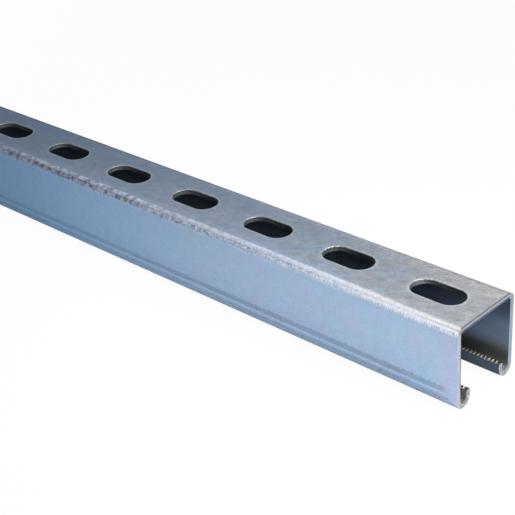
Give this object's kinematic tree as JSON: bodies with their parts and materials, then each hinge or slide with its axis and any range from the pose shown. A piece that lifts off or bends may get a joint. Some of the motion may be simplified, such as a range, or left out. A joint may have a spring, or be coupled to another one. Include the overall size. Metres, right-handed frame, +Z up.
{
  "type": "slotted strut channel",
  "caption": "Galvanised steel strut channel: an open box section with inturned serrated lips and a row of long slots punched along its web.",
  "frame": {"origin": "under the middle of the channel, on the plane that the two lips rest on", "axes": "+X along the length, towards the end that the picture shows; Y across the channel, with the side that the picture shows at -Y; +Z up through the slotted web"},
  "size_m": [1, 0.041, 0.041],
  "materials": {
    "galvanised_steel": "hot-dip galvanised, dull satin with faint mottling and rolling marks"
  },
  "bodies": {
    "root": {"strut_channel": "galvanised_steel"}
  },
  "joints": []
}
